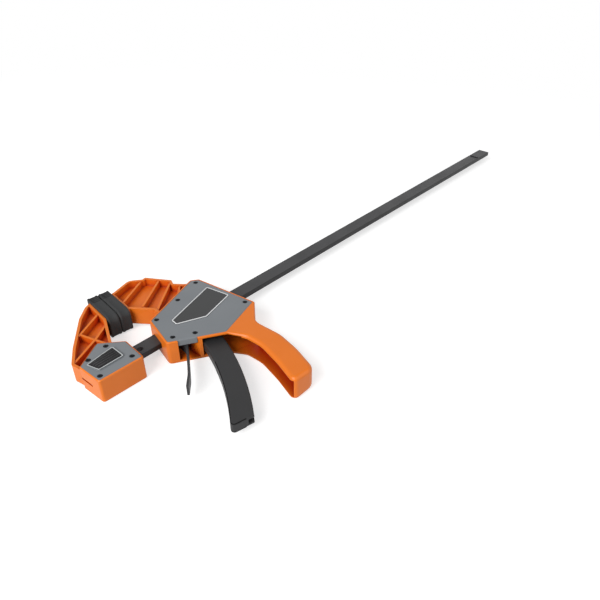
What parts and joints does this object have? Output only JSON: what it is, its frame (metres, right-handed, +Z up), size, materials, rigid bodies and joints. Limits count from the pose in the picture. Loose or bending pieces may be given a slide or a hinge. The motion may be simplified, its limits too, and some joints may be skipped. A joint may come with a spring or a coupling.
{
  "type": "quick release bar clamp",
  "caption": "One-handed bar clamp with a pistol grip and trigger, a sliding jaw and a fixed jaw with toed-in rubber pads, and a long flat steel bar.",
  "frame": {"origin": "on the underside of the fixed jaw, straight below the latch that holds this jaw on the bar", "axes": "+X along the bar from the fixed jaw to the free end, +Y from the bar towards the jaw faces, +Z up from the surface that the clamp lies on"},
  "size_m": [0.8462, 0.2791, 0.032],
  "materials": {
    "dark_steel": "black oxide, satin",
    "bright_steel": "bright, satin",
    "black_steel": "black oxide",
    "orange_resin": "satin moulded, filled resin",
    "grey_resin": "fine grain",
    "black_resin": "fine grain",
    "panel_black": "satin printed panel, left bare",
    "pad_rubber": "moulded rubber"
  },
  "bodies": {
    "bar_and_fixed_jaw": {"bar": "dark_steel", "stop_key": "bright_steel", "fixed_jaw": "orange_resin", "fixed_cover": "grey_resin", "fixed_cover_screws": "black_steel", "fixed_pad": "pad_rubber", "latch_spring": "bright_steel"},
    "change_latch": {"change_button": "black_resin", "latch_plate": "bright_steel"},
    "sliding_head": {"moving_jaw": "orange_resin", "main_cover": "grey_resin", "name_panel": "panel_black", "main_cover_screws": "black_steel", "moving_pad": "pad_rubber", "front_guide": "bright_steel", "rear_guide": "bright_steel", "trigger_pin": "bright_steel", "brake_spring": "bright_steel", "drive_spring": "bright_steel"},
    "trigger_lever": {"trigger": "black_resin"},
    "drive_set": {"drive_plates": "bright_steel"},
    "brake": {"brake_lever": "dark_steel"}
  },
  "joints": [
    {"name": "jaw_slide", "type": "slide", "parent": "bar_and_fixed_jaw", "child": "sliding_head", "axis": [1, 0, 0], "range_m": [0, 0.6]},
    {"name": "latch_press", "type": "slide", "parent": "bar_and_fixed_jaw", "child": "change_latch", "axis": [0, 0, 1], "range_m": [-0.002, 0], "stiffness_N_per_m": 1200, "springref_m": 0.002, "deforming": ["latch_spring"]},
    {"name": "trigger_pivot", "type": "hinge", "parent": "sliding_head", "child": "trigger_lever", "pos_m": [0.1153, 0.017, 0.015], "axis": [0, 0, 1], "range_deg": [0, 14], "stiffness_Nm_per_rad": 0.8, "springref_deg": -17.19},
    {"name": "drive_push", "type": "slide", "parent": "sliding_head", "child": "drive_set", "axis": [1, 0, 0], "range_m": [0, 0.0078], "deforming": ["drive_spring"]},
    {"name": "brake_release", "type": "hinge", "parent": "sliding_head", "child": "brake", "pos_m": [0.0805, 0.017, 0.015], "axis": [0, 0, 1], "range_deg": [0, 6], "stiffness_Nm_per_rad": 0.8, "springref_deg": -17.19}
  ],
  "couplings": [
    {"joint": "drive_push", "follows": "trigger_pivot", "m_per_rad": 0.0315}
  ]
}
